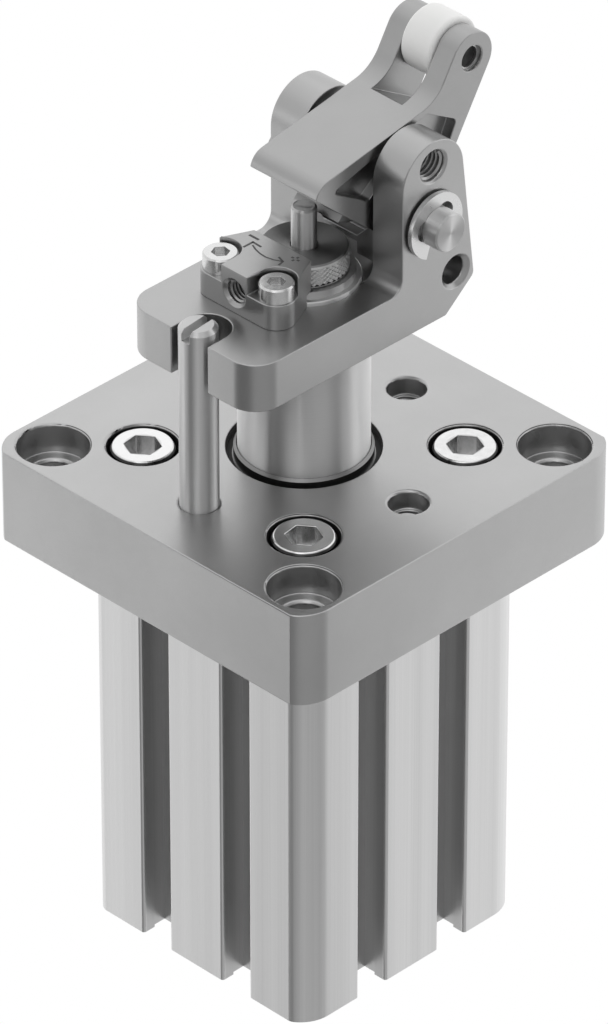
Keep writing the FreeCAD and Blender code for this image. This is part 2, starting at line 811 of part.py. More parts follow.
def make_carrier():
    body = new_body("lever_carrier")
    side = new_sketch(body, "carrier_side", "XZ_Plane")
    outline(side, [
        Corner("-nose_reach", PLATE_LOW),
        Corner("heel_start", PLATE_LOW),
        Corner("ear_back", f"{PLATE_LOW} + heel_rise", "edge_break * 4"),
        Wheel("ear_round_at", f"{PLATE_TOP} + ear_height", "ear_round"),
        Corner("ear_front", PLATE_TOP, "ear_fillet"),
        Corner("-nose_reach", PLATE_TOP),
    ])
    pad(body, side, "2 * plate_half", both_ways=True)

    gap = new_sketch(body, "ear_gap", "XZ_Plane")
    rectangle(gap, "0", "ear_back + beyond", PLATE_TOP,
              f"{PLATE_TOP} + ear_height + ear_round + beyond")
    pocket(body, gap, f"2 * {EAR_INSIDE}", both_ways=True)

    noses = new_sketch(body, "nose_rounding", "XY_Plane", PLATE_TOP)
    for sign in (-1, 1):
        start = f"(plate_half - nose_round - 1) * {sign}"
        outside = f"(plate_half + beyond) * {sign}"
        edge = [
            Corner("-nose_reach - beyond", start),
            Corner("-nose_reach", start),
            Corner("-nose_reach", f"plate_half * {sign}", "nose_round"),
            Corner("-nose_reach + nose_round + 1", f"plate_half * {sign}"),
            Corner("-nose_reach + nose_round + 1", outside),
            Corner("-nose_reach - beyond", outside),
        ]
        outline(noses, edge if sign < 0 else edge[::-1])
    pocket(body, noses, "plate_thick")

    mouth = new_sketch(body, "pin_slot_mouth", "XY_Plane", PLATE_TOP)
    slot_in = "-pin_slot_end + pin_slot / 2"
    rectangle(mouth, "-nose_reach - beyond", "-pin_slot_end", "-pin_slot / 2", "pin_slot / 2")
    pocket(body, mouth, "plate_thick")
    end = new_sketch(body, "pin_slot_round", "XY_Plane", PLATE_TOP)
    circle(end, "-pin_slot_end", "0", "pin_slot / 2")
    pocket(body, end, "plate_thick")

    centre = new_sketch(body, "collar_bore", "XY_Plane", PLATE_TOP)
    circle(centre, "0", "0", "collar_size / 2 + press_gap")
    pocket(body, centre, "plate_thick")

    for name, sign in (("near", -1), ("far", 1)):
        drill(body, f"{name}_clamp_thread", "XZ_Plane", f"-clamp_side * {sign}",
              ("-clamp_out", PLATE_TOP), "-y",
              [("0", "clamp_size / 2"), ("clamp_grip + thread_over", "clamp_size / 2")])
        face = f"plate_half * {sign}"
        heading = "-y" if sign > 0 else "+y"
        drill(body, f"{name}_axle_bore", "XY_Plane", PIVOT_HIGH, ("pivot_out", face), heading,
              [("0", "axle_size / 2 + press_gap"), ("ear_thick + beyond", "axle_size / 2 + press_gap")])
        drill(body, f"{name}_ear_thread", "XY_Plane", f"{PLATE_TOP} + ear_thread_up",
              ("ear_round_at", face), heading, [
                  ("0", "ear_thread_mouth / 2"),
                  ("(ear_thread_mouth - ear_thread) / 2", "ear_thread / 2"),
                  ("ear_thick + beyond", "ear_thread / 2")])
        drill(body, f"{name}_low_hole", "XY_Plane", f"{PLATE_TOP} - low_hole_drop",
              ("low_hole_at", face), heading, [
                  ("0", "low_hole_mouth / 2"),
                  ("(low_hole_mouth - low_hole) / 2", "low_hole / 2"),
                  ("ear_thick", "low_hole / 2")])
    return body


def make_lever():
    body = new_body("lever")
    side = new_sketch(body, "lever_side", "XZ_Plane")
    outline(side, [
        Corner("-heel_front", "-heel_low"),
        Wheel("0", "0", "heel_round"),
        Corner("heel_back", "-heel_back_low"),
        Wheel("tip_out", "tip_up", "tip_round"),
        Corner("crook_out", "crook_up", "crook_round"),
        Wheel("-nose_out", "nose_up", "nose_edge"),
        Corner("-chin_out", "chin_up"),
        Corner("-heel_front", "-heel_top"),
    ])
    pad(body, side, "2 * lever_half", both_ways=True)

    tooth = new_sketch(body, "stop_tooth", "XZ_Plane")
    polygon(tooth, [
        ("-tooth_tip_out", "tooth_tip_up"),
        ("-tooth_low_out", "-tooth_low_down"),
        ("-tooth_back_out", "-tooth_back_down"),
        ("-tooth_back_out + tooth_root", "-tooth_back_down + tooth_root"),
        ("-tooth_front_out + tooth_root", "tooth_front_up + tooth_root"),
        ("-tooth_front_out", "tooth_front_up"),
    ])
    pad(body, tooth, "2 * tooth_half", both_ways=True)

    channel = new_sketch(body, "heel_channel", "XZ_Plane")
    rectangle(channel, "-heel_round", "heel_round", "-heel_round - beyond", "-channel_top")
    pocket(body, channel, "2 * channel_half", both_ways=True)

    step = new_sketch(body, "heel_step", "YZ_Plane", "-heel_front + heel_step_deep")
    polygon(step, [
        ("-channel_half", "-heel_step_low"),
        ("channel_half", "-heel_step_low"),
        ("heel_step_half", "-heel_step_top"),
        ("-heel_step_half", "-heel_step_top"),
    ])
    pocket(body, step, "heel_front")

    slot = new_sketch(body, "roller_slot_side", "XZ_Plane")

    def from_tip(ahead, left):
        """A point of the slot, measured along and across the arm."""
        across = f"tip_out + ({ahead}) * cos(arm_lean) - ({left}) * sin(arm_lean)"
        up = f"tip_up + ({ahead}) * sin(arm_lean) + ({left}) * cos(arm_lean)"
        return across, up

    polygon(slot, [
        from_tip("-slot_floor", "-2 * tip_round"),
        from_tip("2 * tip_round", "-2 * tip_round"),
        from_tip("2 * tip_round", "2 * tip_round"),
        from_tip("-slot_floor", "2 * tip_round"),
    ])
    pocket(body, slot, "roller_slot", both_ways=True)

    for name, sign in (("near", -1), ("far", 1)):
        recess = new_sketch(body, f"{name}_side_recess", "XZ_Plane", f"-lever_half * {sign}")
        outline(recess, [
            Corner("-recess_tip_out", "recess_tip_up", "recess_round / 2"),
            Corner("-recess_low_out", "recess_low_up", "recess_round"),
            Corner("-recess_boss_out", "recess_boss_up", "recess_boss_round"),
            Corner("recess_arm_out", "recess_arm_up", "recess_boss_round"),
            Corner("recess_end_out", "recess_end_up", "recess_round"),
            Corner("recess_far_out", "recess_far_up", "recess_round"),
            Corner("recess_top_out", "recess_top_up", "recess_round"),
        ])
        pocket(body, recess, "recess_deep", along_normal=sign > 0)

    drill(body, "hub_bore", "XY_Plane", "0", ("0", "-lever_half - 1"), "+y",
                [("0", "axle_size / 2 + turn_gap"), ("2 * lever_half + beyond", "axle_size / 2 + turn_gap")])
    for name, sign in (("near", -1), ("far", 1)):
        face, heading = f"lever_half * {sign}", "-y" if sign > 0 else "+y"
        ring_at = "roller_pin_in - pin_ring_thick"
        drill(body, f"{name}_tip_bore", "XY_Plane", "tip_up", ("tip_out", face), heading, [
            ("0", "pin_mouth / 2"),
            ("(pin_mouth - roller_pin) / 2", "roller_pin / 2 + press_gap"),
            (ring_at, "roller_pin / 2 + press_gap"),
            (ring_at, "roller_pin / 2 + pin_ring_wall / 2"),
            ("roller_pin_in", "roller_pin / 2 + pin_ring_wall / 2"),
            ("roller_pin_in", "roller_pin / 2 + press_gap"),
            ("lever_half", "roller_pin / 2 + press_gap"),
        ])
    drive(body, "Placement.Base.x", "pivot_out")
    drive(body, "Placement.Base.z", PIVOT_HIGH)
    return body


def make_axle():
    end, radius = "(plate_half + axle_stub)", "axle_size / 2"
    body = turned("lever_axle", [
        ("0", f"-{end}"),
        (f"{radius} - axle_point", f"-{end}"),
        (radius, f"-{end} + axle_point"),
        (radius, f"{end} - axle_point"),
        (f"{radius} - axle_point", end),
        ("0", end),
    ])
    for name, low in (("far", "-plate_half - clip_off - clip_thick - slide_gap"),
                      ("near", "plate_half + clip_off - slide_gap")):
        groove(body, f"{name}_clip_groove", [
            ("clip_bore / 2 - press_gap", low),
            ("axle_size", low),
            ("axle_size", f"{low} + clip_thick + 2 * slide_gap"),
            ("clip_bore / 2 - press_gap", f"{low} + clip_thick + 2 * slide_gap"),
        ])
    on_pivot(body)

    clip = new_body("axle_clip")
    disc = new_sketch(clip, "clip_disc", "XY_Plane")
    circle(disc, "0", "0", "clip_size / 2")
    circle(disc, "0", "0", "clip_bore / 2")
    pad(clip, disc, "clip_thick")
    mouth = new_sketch(clip, "clip_opening", "XY_Plane", "clip_thick")
    flared = "(clip_mouth / 2 + clip_flare * clip_size)"
    polygon(mouth, [
        ("-clip_mouth / 2", "-clip_bore / 4"),
        (f"-{flared}", "-clip_size"),
        (flared, "-clip_size"),
        ("clip_mouth / 2", "-clip_bore / 4"),
    ])
    pocket(clip, mouth, "clip_thick")
    windows = new_sketch(clip, "clip_windows", "XY_Plane", "clip_thick")
    for sign in (-1, 1):
        def window_corner(out, aside, rounding=None):
            """A corner from its distance out of the clip's middle and across the window."""
            across = f"{sign} * (({out}) * cos(clip_window_turn) - ({aside}) * sin(clip_window_turn))"
            return Corner(across, f"({out}) * sin(clip_window_turn) + ({aside}) * cos(clip_window_turn)", rounding)

        corners = [
            window_corner("clip_window_in", "-clip_window_in"),
            window_corner("clip_window_out", "-clip_window_half", "clip_window_round"),
            window_corner("clip_window_out", "clip_window_half", "clip_window_round"),
            window_corner("clip_window_in", "clip_window_in"),
        ]
        outline(windows, corners[::sign])
    pocket(clip, windows, "clip_thick")
    places = [("0", "0", "plate_half + clip_off"), ("0", "0", "-plate_half - clip_off - clip_thick")]
    clips = group("axle_clips", clip, places)
    clips.Placement.Rotation = Rotation(Vector(1, 0, 0), 90) * Rotation(Vector(0, 0, 1), SIZES["clip_turn"])
    drive(clips, "Placement.Base.x", "pivot_out")
    drive(clips, "Placement.Base.z", PIVOT_HIGH)
    return [body, clips]


def make_roller():
    half, radius = "roller_wide / 2", "roller_size / 2"
    roller = turned("roller", [
        ("roller_pin / 2 + turn_gap", f"-{half}"),
        (radius, f"-{half}", "roller_edge"),
        (radius, half, "roller_edge"),
        ("roller_pin / 2 + turn_gap", half),
    ])
    length = "(lever_half - roller_pin_in)"
    pin_body = turned("roller_pin", [
        ("0", f"-{length}"),
        ("roller_pin / 2 - edge_break", f"-{length}"),
        ("roller_pin / 2", f"-{length} + edge_break"),
        ("roller_pin / 2", f"{length} - edge_break"),
        ("roller_pin / 2 - edge_break", length),
        ("0", length),
    ])
    ring = new_body("pin_ring")
    sketch = new_sketch(ring, "pin_ring_outline", "XY_Plane")
    outside = "roller_pin / 2 + pin_ring_wall / 2 - press_gap"
    circle(sketch, "0", "0", outside)
    circle(sketch, "0", "0", f"{outside} - pin_ring_wall")
    pad(ring, sketch, "pin_ring_thick")
    cut = new_sketch(ring, "pin_ring_opening", "XY_Plane", "pin_ring_thick")
    rectangle(cut, "-roller_pin", "0", "-pin_ring_gap / 2", "pin_ring_gap / 2")
    pocket(ring, cut, "pin_ring_thick")
    rings = group("roller_pin_rings", ring, [("0", "0", length), ("0", "0", f"-{length} - pin_ring_thick")])
    for piece in (roller, pin_body, rings):
        on_pivot(piece, "tip_out", "tip_up")
    return [roller, pin_body, rings]


def make_absorber():
    low = f"({COLLAR_TOP} - absorber_long)"
    neck_top = f"({ABSORBER_TOP} + absorber_neck_high)"
    body = turned("absorber_body", [
        ("0", low),
        ("absorber_size / 2 - edge_break", low),
        ("absorber_size / 2", f"{low} + edge_break"),
        ("absorber_size / 2", COLLAR_TOP),
        ("absorber_flange / 2", COLLAR_TOP),
        ("absorber_flange / 2", ABSORBER_TOP),
        ("absorber_neck / 2", ABSORBER_TOP),
        ("absorber_neck / 2", neck_top),
        ("absorber_bore / 2", neck_top),
        ("absorber_bore / 2", f"{low} + absorber_floor"),
        ("0", f"{low} + absorber_floor"),
    ])
    gland = turned("absorber_gland", [
        ("plunger_size / 2 + slide_gap", f"{neck_top} - gland_long"),
        ("absorber_bore / 2 - press_gap", f"{neck_top} - gland_long"),
        ("absorber_bore / 2 - press_gap", neck_top),
        ("plunger_size / 2 + slide_gap", neck_top),
    ])
    top = f"({PLATE_TOP} + plunger_up)"
    head_top = f"({PLATE_TOP} - plunger_head_down)"
    radius, head = "plunger_size / 2", "(absorber_bore / 2 - 2 * slide_gap)"
    plunger = turned("absorber_plunger", [
        ("0", f"{head_top} - plunger_head"),
        (head, f"{head_top} - plunger_head"),
        (head, head_top),
        (radius, head_top),
        (radius, f"{top} - plunger_point"),
        (f"{radius} - plunger_point", top),
        ("0", top),
    ])
    knob = turned("adjusting_ring", [
        ("absorber_neck / 2 + turn_gap", KNOB_LOW),
        ("knob_size / 2", KNOB_LOW),
        ("knob_size / 2", f"{KNOB_TOP} - knob_edge"),
        ("knob_size / 2 - knob_edge", KNOB_TOP),
        ("knob_hole / 2", KNOB_TOP),
        ("knob_hole / 2", f"{KNOB_TOP} - knob_roof"),
        ("absorber_neck / 2 + turn_gap", f"{KNOB_TOP} - knob_roof"),
    ])
    return [body, gland, plunger, knob]


def make_clamp():
    body = new_body("clamp_block")
    sketch = new_sketch(body, "block_outline", "XY_Plane", PLATE_TOP)
    outline(sketch, [
        Corner("-block_back", "-block_back_half"),
        Corner("-block_back", "block_back_half"),
        Wheel("-clamp_out", "clamp_side", "block_corner"),
        Wheel("-clamp_out", "-clamp_side", "block_corner"),
    ])
    pad(body, sketch, "block_high")
    groove(body, "knob_recess", [
        ("0", PLATE_TOP),
        ("collar_size / 2 + hole_gap", PLATE_TOP),
        ("collar_size / 2 + hole_gap", KNOB_LOW),
        ("knob_size / 2 + hole_gap", KNOB_LOW),
        ("knob_size / 2 + hole_gap", f"{BLOCK_TOP} - block_roof"),
        ("0", f"{BLOCK_TOP} - block_roof"),
    ])
    for name, sign in (("near", -1), ("far", 1)):
        side = f"clamp_side * {sign}"
        open_notch = new_sketch(body, f"{name}_notch", "XY_Plane", BLOCK_TOP)
        rectangle(open_notch, "-clamp_out - notch", "-clamp_out",
                  f"{side} - notch / 2", f"{side} + notch / 2")
        pocket(body, open_notch, f"{BLOCK_TOP} - {CLAMP_SEAT}")
        drill(body, f"{name}_clamp_bore", "XZ_Plane", f"-({side})", ("-clamp_out", BLOCK_TOP), "-y", [
            ("0", "notch / 2"),
            (f"{BLOCK_TOP} - {CLAMP_SEAT}", "notch / 2"),
            (f"{BLOCK_TOP} - {CLAMP_SEAT}", "clamp_size / 2 + hole_gap / 2"),
            ("block_high + beyond", "clamp_size / 2 + hole_gap / 2"),
        ])
    drill(body, "set_screw_thread", "XZ_Plane", "0",
          ("-clamp_out - block_corner", f"{PLATE_TOP} + block_thread_up"), "+x", [
              ("0", "block_thread_mouth / 2"),
              ("(block_thread_mouth - block_thread) / 2", "block_thread / 2"),
              ("block_thread_deep", "block_thread / 2"),
              ("block_thread_deep", "block_nose_hole / 2"),
              ("clamp_out", "block_nose_hole / 2")])
    screw = socket_screw("clamp_screw", "clamp_size", "clamp_head", "clamp_head_high", "clamp_socket",
                         "clamp_seat + clamp_grip", "22")
    places = [("-clamp_out", f"clamp_side * {sign}", CLAMP_SEAT) for sign in (-1, 1)]
    return [body, group("clamp_screws", screw, places)]


nodes = [
    make_barrel(),
    *make_end_cap(),
    *make_flange(),
    make_guide_pin(),
    make_rod(),
    *make_piston(),
    make_carrier(),
    *make_axle(),
    *make_absorber(),
    *make_clamp(),
    make_lever(),
    *make_roller(),
]

doc.recompute()
failed = [item.Name for item in doc.Objects if {"Invalid", "Error"} & set(item.State)]
if failed:
    raise RuntimeError(f"these features failed: {failed}")
for node in nodes:
    if node.Shape.isNull() or not node.Shape.isValid():
        raise RuntimeError(f"{node.Label} has no valid shape")

os.makedirs("parts", exist_ok=True)
for node in nodes:
    node.Shape.exportStep(f"parts/{node.Label}.step")
    print(node.Label, len(node.Shape.Solids), round(node.Shape.Volume, 1))
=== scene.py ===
import json
import math

import bmesh
import bpy
from mathutils import Matrix, Vector

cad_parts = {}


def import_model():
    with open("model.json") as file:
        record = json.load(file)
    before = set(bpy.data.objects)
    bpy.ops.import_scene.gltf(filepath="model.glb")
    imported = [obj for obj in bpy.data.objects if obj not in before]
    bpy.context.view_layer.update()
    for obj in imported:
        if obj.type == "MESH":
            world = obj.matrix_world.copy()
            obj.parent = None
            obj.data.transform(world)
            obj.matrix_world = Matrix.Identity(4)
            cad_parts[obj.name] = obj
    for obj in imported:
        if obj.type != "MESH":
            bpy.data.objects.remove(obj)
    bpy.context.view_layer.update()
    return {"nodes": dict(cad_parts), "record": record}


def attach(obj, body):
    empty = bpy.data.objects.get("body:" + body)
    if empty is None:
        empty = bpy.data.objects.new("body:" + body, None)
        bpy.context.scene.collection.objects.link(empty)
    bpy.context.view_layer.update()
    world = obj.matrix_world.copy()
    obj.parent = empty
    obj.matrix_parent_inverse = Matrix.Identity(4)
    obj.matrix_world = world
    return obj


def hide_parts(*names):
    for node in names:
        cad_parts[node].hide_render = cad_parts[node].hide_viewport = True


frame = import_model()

# The pallet stopper's looks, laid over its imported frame. Lengths are in metres unless they are
# said to be in millimetres, +Z is up, the rod's axis is the Z axis, and the lever's axle lies along Y.

nodes = frame["nodes"]
slot_of = {row["node"]: row["material_slot"] for row in frame["record"]["subparts"]}
body_of = {node: body for body, held in frame["record"]["behaviour"]["bodies"].items() for node in held}

MM = 0.001
AXIS_FOOT = (0, 0, 0)
ACROSS = Vector((0, 1, 0))
UPRIGHT = Vector((0, 0, 1))
PIVOT = Vector((20.45, 0, 198.7)) * MM
LEVER_TIP = Vector((45.0, 0, 228.7)) * MM
ROD_RADIUS = 16.0 * MM
BARREL_FACE = 37.3 * MM
FLANGE_SCREW_PITCH = 54.5 * MM
WHITE = (1, 1, 1, 1)

# Sockets of the Mix node when it mixes colours: the two that go in, and the one that comes out.
MIX_FIRST, MIX_SECOND, MIX_RESULT = 6, 7, 2
NUMBER_RESULTS = ("LENGTH", "DISTANCE", "DOT_PRODUCT")


def add_node(tree, kind, inputs=None, **settings):
    """A node with its settings; each input is a value, or the socket that feeds it."""
    made = tree.nodes.new(kind)
    for key, value in settings.items():
        setattr(made, key, value)
    for key, value in (inputs or {}).items():
        if isinstance(value, bpy.types.NodeSocket):
            tree.links.new(value, made.inputs[key])
        else:
            made.inputs[key].default_value = value
    return made


class Finish:
    """A material in the making, with short calls for its nodes."""

    def __init__(self, name, metallic=0.0, roughness=0.5, colour=(0.8, 0.8, 0.8)):
        self.material = bpy.data.materials.new(name)
        self.material.use_nodes = True
        self.tree = self.material.node_tree
        self.shader = self.tree.nodes["Principled BSDF"]
        self.shader.inputs["Metallic"].default_value = metallic
        self.shader.inputs["Roughness"].default_value = roughness
        self.shader.inputs["Base Color"].default_value = (*colour, 1.0)
        self.place = self.node("ShaderNodeTexCoord").outputs["Object"]

    def node(self, kind, inputs=None, **settings):
        return add_node(self.tree, kind, inputs, **settings)

    def number(self, operation, first, second):
        return self.node("ShaderNodeMath", {0: first, 1: second}, operation=operation).outputs[0]

    def vector(self, operation, *terms):
        """A step of vector arithmetic, which gives a vector, or a number for a length and its like."""
        made = self.node("ShaderNodeVectorMath", dict(enumerate(terms)), operation=operation)
        return made.outputs["Value" if operation in NUMBER_RESULTS else "Vector"]

    def dimmed(self, colour, share):
        return self.node("ShaderNodeVectorMath", {0: colour, "Scale": share}, operation="SCALE").outputs[0]

    def noise(self, scale, stretch=(1, 1, 1), detail=3.0, roughness=0.55):
        """Noise in object coordinates, which are squeezed first where it has to be long."""
        place = self.node("ShaderNodeMapping", {"Vector": self.place, "Scale": stretch}).outputs[0]
        inputs = {"Vector": place, "Scale": scale, "Detail": detail, "Roughness": roughness}
        return self.node("ShaderNodeTexNoise", inputs).outputs["Fac"]

    def ranged(self, value, low, high, start=0.3, end=0.7):
        """A value from low to high; where a noise mostly lies is the range that is taken as given."""
        inputs = {"Value": value, "From Min": start, "From Max": end, "To Min": low, "To Max": high}
        return self.node("ShaderNodeMapRange", inputs).outputs[0]

    def tones(self, share, dark, light):
        """A colour that goes from dark to light as a share goes from nought to one."""
        made = self.node("ShaderNodeMix", data_type="RGBA")
        self.tree.links.new(share, made.inputs[0])
        made.inputs[MIX_FIRST].default_value = (*dark, 1.0)
        made.inputs[MIX_SECOND].default_value = (*light, 1.0)
        return made.outputs[MIX_RESULT]

    def set(self, socket, value):
        self.tree.links.new(value, self.shader.inputs[socket])

    def clouded(self, noise, dark, light):
        self.set("Base Color", self.tones(self.ranged(noise, 0, 1), dark, light))

    def roughened(self, noise, low, high):
        self.set("Roughness", self.ranged(noise, low, high))

    def bumped(self, height, depth, strength):
        inputs = {"Height": height, "Distance": depth, "Strength": strength}
        self.set("Normal", self.node("ShaderNodeBump", inputs).outputs[0])

    def brushed_along(self, tangent):
        """Stretches the highlights across the fine grooves that run along a tangent."""
        self.shader.inputs["Anisotropic"].default_value = 1.0
        self.set("Tangent", tangent)


def grey(level):
    return (level, level, level)


def blasted_alloy(name, level, roughness=0.33):
    """Anodised aluminium with the fine matt grain of bead blasting."""
    finish = Finish(name, metallic=1.0)
    finish.clouded(finish.noise(38.0, detail=4.0), grey(level * 0.96), grey(level * 1.04))
    fine = finish.noise(2600.0, detail=2.0)
    finish.roughened(fine, roughness - 0.05, roughness + 0.05)
    finish.bumped(fine, 0.01 * MM, 0.6)
    return finish.material


# How far inside the barrel's faces the painted shade of its grooves ends and begins, and the distance
# from both middle planes beyond which what lies inside the faces is a rounded corner and no groove.
GROOVE_SHADE_FADE = (1.2 * MM, 0.6 * MM)
CORNER_FADE = (24 * MM, 25 * MM)


def drawn_alloy(name, level, face, groove_shade_share=0.76):
    """Extruded profile: fine lines run its whole length, and its grooves are darkened with painted shade.
    """
    finish = Finish(name, metallic=1.0)
    lines = finish.noise(900.0, stretch=(1, 1, 0.004), detail=4.0, roughness=0.7)
    broad = finish.noise(160.0, stretch=(1, 1, 0.01), detail=2.0)
    both = finish.number("MULTIPLY", finish.ranged(lines, 0.9, 1.1), finish.ranged(broad, 0.92, 1.08))
    shade = finish.ranged(both, 0, 1, 0.85, 1.15)
    colour = finish.tones(shade, grey(level * 0.88), grey(level * 1.08))
    sides = finish.node("ShaderNodeSeparateXYZ", {0: finish.vector("ABSOLUTE", finish.place)}).outputs
    reach = finish.number("MAXIMUM", sides[0], sides[1])
    aside = finish.number("MINIMUM", sides[0], sides[1])
    # Painted shade: the grooves inside the faces are darkened, but not at the rounded corners.
    outside = finish.ranged(reach, groove_shade_share, 1, face - GROOVE_SHADE_FADE[0], face - GROOVE_SHADE_FADE[1])
    share = finish.number("MAXIMUM", outside, finish.ranged(aside, 0, 1, *CORNER_FADE))
    finish.set("Base Color", finish.dimmed(colour, share))
    finish.roughened(lines, 0.30, 0.44)
    finish.bumped(lines, 0.02 * MM, 0.5)
    return finish.material


def ground_steel(name, level, roughness):
    """Upright ground or hard chromed bar, whose fine rings stretch every highlight along it."""
    finish = Finish(name, metallic=1.0)
    along = finish.vector("DOT_PRODUCT", finish.place, tuple(UPRIGHT))
    inputs = {"W": along, "Scale": 4200.0, "Detail": 2.0}
    rings = finish.node("ShaderNodeTexNoise", inputs, noise_dimensions="1D").outputs["Fac"]
    finish.clouded(rings, grey(level * 0.97), grey(level))
    finish.roughened(finish.noise(220.0), roughness - 0.02, roughness + 0.02)
    finish.brushed_along(finish.node("ShaderNodeCombineXYZ", dict(enumerate(UPRIGHT))).outputs[0])
    finish.bumped(rings, 0.004 * MM, 0.15)
    return finish.material


def faced_steel(name, level, centre, axis, roughness=0.3, rim=None):
    """Turned steel, whose fine rings stretch every highlight; a rim is a radius and the level beyond it,
    painted light on the rim against painted shade on the rest.
    """
    finish = Finish(name, metallic=1.0)
    spoke = finish.vector("SUBTRACT", finish.place, tuple(centre))
    round_it = finish.vector("CROSS_PRODUCT", tuple(axis), spoke)
    radius = finish.vector("LENGTH", round_it)
    along = finish.vector("DOT_PRODUCT", finish.place, tuple(axis))
    spread = finish.node("ShaderNodeCombineXYZ", {0: radius, 1: along}).outputs[0]
    inputs = {"Vector": spread, "Scale": 3600.0, "Detail": 2.0}
    rings = finish.node("ShaderNodeTexNoise", inputs).outputs["Fac"]
    colour = finish.tones(finish.ranged(rings, 0, 1), grey(level * 0.98), grey(level))
    # Painted light: beyond the rim's radius the colour is lifted to a brighter level.
    if rim:
        reach, rim_light_level = rim
        share = finish.ranged(radius, 1, rim_light_level / level, reach - 0.1 * MM, reach)
        colour = finish.dimmed(colour, share)
    finish.set("Base Color", colour)
    finish.roughened(rings, roughness - 0.03, roughness + 0.03)
    normal = finish.node("ShaderNodeNewGeometry").outputs["Normal"]
    finish.brushed_along(finish.vector("NORMALIZE", finish.vector("CROSS_PRODUCT", normal, round_it)))
    finish.bumped(rings, 0.002 * MM, 0.08)
    return finish.material


# Distances from a flange screw's axis between which the painted shade of its socket gives way to the
# bright face, and the face's rim to the painted shadow of the seat's gap; each of the two keeps this share
# of the light.
SOCKET_FADE, SOCKET_SHADE_SHARE = (4.2 * MM, 4.7 * MM), 0.75
HEAD_RIM_FADE, HEAD_RIM_SHADOW_SHARE = (7.4 * MM, 7.55 * MM), 0.06


def head_shade(finish, pitch):
    """The share of light that screw heads on a square pitch keep under painted shade in their sockets and
    painted shadow at their rims.
    """
    flat = finish.vector("MULTIPLY", finish.place, (1, 1, 0))
    folded = finish.vector("ABSOLUTE", flat)
    aside = finish.vector("DISTANCE", folded, (pitch / 2, pitch / 2, 0))
    socket = finish.ranged(aside, SOCKET_SHADE_SHARE, 1, *SOCKET_FADE)
    return finish.number("MULTIPLY", socket, finish.ranged(aside, 1, HEAD_RIM_SHADOW_SHARE, *HEAD_RIM_FADE))


def plated_screw(name, level, roughness=0.2, pitch=None):
    """Bright zinc, a little cloudy, with painted shade about the heads where their pitch is given."""
    finish = Finish(name, metallic=1.0)
    cloud = finish.noise(420.0)
    colour = finish.tones(finish.ranged(cloud, 0, 1), grey(level * 0.92), grey(level))
    # Painted shade in the heads' sockets and a painted shadow at their rims.
    if pitch:
        colour = finish.dimmed(colour, head_shade(finish, pitch))
    finish.set("Base Color", colour)
    finish.roughened(cloud, roughness - 0.05, roughness + 0.08)
    finish.bumped(finish.noise(3000.0), 0.006 * MM, 0.4)
    return finish.material


def roller_plastic(name):
    """White moulded plastic, smooth with a soft sheen."""
    finish = Finish(name)
    finish.clouded(finish.noise(90.0), (0.87, 0.87, 0.86), (0.91, 0.91, 0.90))
    finish.roughened(finish.noise(700.0), 0.30, 0.42)
    finish.bumped(finish.noise(1600.0), 0.012 * MM, 0.5)
    finish.shader.inputs["Subsurface Weight"].default_value = 0.15
    finish.shader.inputs["Subsurface Radius"].default_value = (2 * MM, 2 * MM, 2 * MM)
    finish.shader.inputs["Subsurface Scale"].default_value = 1.0
    return finish.material


def plain_solid(name, dark, light, roughness):
    """Matt rubber, plastic or bronze of the pieces inside."""
    finish = Finish(name)
    cloud = finish.noise(300.0)
    finish.clouded(cloud, dark, light)
    finish.roughened(cloud, roughness - 0.06, roughness + 0.06)
    finish.bumped(finish.noise(1500.0), 0.01 * MM, 0.5)
    return finish.material


def wiper_seal(name, lip, shoulder):
    """A bright steel lip and a near-black matt shoulder, told apart by the distance from the rod's axis.
    """
    finish = Finish(name)
    radius = finish.vector("LENGTH", finish.vector("MULTIPLY", finish.place, (1, 1, 0)))
    colour = finish.tones(finish.ranged(radius, 0, 1, lip, shoulder), grey(0.26), grey(0.012))
    finish.set("Base Color", colour)
    finish.set("Metallic", finish.ranged(radius, 1, 0, lip, shoulder))
    finish.set("Roughness", finish.ranged(radius, 0.3, 0.6, lip, shoulder))
    return finish.material


def etched_mark(name):
    """The dull darker grey of marks etched into bare metal."""
    finish = Finish(name, metallic=0.6)
    cloud = finish.noise(2000.0)
    finish.clouded(cloud, grey(0.10), grey(0.16))
    finish.roughened(cloud, 0.55, 0.7)
    return finish.material


FINISHES = {
    "barrel_metal": drawn_alloy("drawn_alloy", 0.77, BARREL_FACE),
    "flange_metal": blasted_alloy("flange_alloy", 0.50),
    "carrier_metal": blasted_alloy("carrier_alloy", 0.46),
    "lever_metal": blasted_alloy("lever_alloy", 0.41),
    "block_metal": blasted_alloy("block_alloy", 0.43),
    "cap_metal": faced_steel("cap_alloy", 0.50, AXIS_FOOT, UPRIGHT),
    "piston_metal": faced_steel("piston_alloy", 0.50, AXIS_FOOT, UPRIGHT),
    "rod_chrome": ground_steel("rod_chrome", 0.80, 0.40),
    "pin_steel": ground_steel("pin_steel", 0.70, 0.40),
    "screw_steel": plated_screw("screw_plating", 0.84, 0.16),
    "clip_steel": plated_screw("clip_steel", 0.80, 0.3),
    "absorber_steel": ground_steel("absorber_steel", 0.62, 0.38),
    # The ring's top is darkened with painted shade, and its knurled rim lifted with painted light.
    "ring_metal": faced_steel("ring_steel", 0.30, AXIS_FOOT, UPRIGHT, 0.38, (10.6 * MM, 0.62)),
    "wiper_metal": wiper_seal("wiper_seal", ROD_RADIUS + 1.2 * MM, ROD_RADIUS + 1.3 * MM),
    "bush_bronze": plain_solid("bush_bronze", (0.34, 0.22, 0.10), (0.42, 0.28, 0.13), 0.45),
    "seal_rubber": plain_solid("seal_rubber", grey(0.012), grey(0.022), 0.6),
    "magnet_black": plain_solid("magnet_black", grey(0.02), grey(0.03), 0.6),
    "wear_plastic": plain_solid("wear_plastic", (0.52, 0.49, 0.42), (0.58, 0.55, 0.48), 0.5),
    "roller_plastic": roller_plastic("roller_plastic"),
}
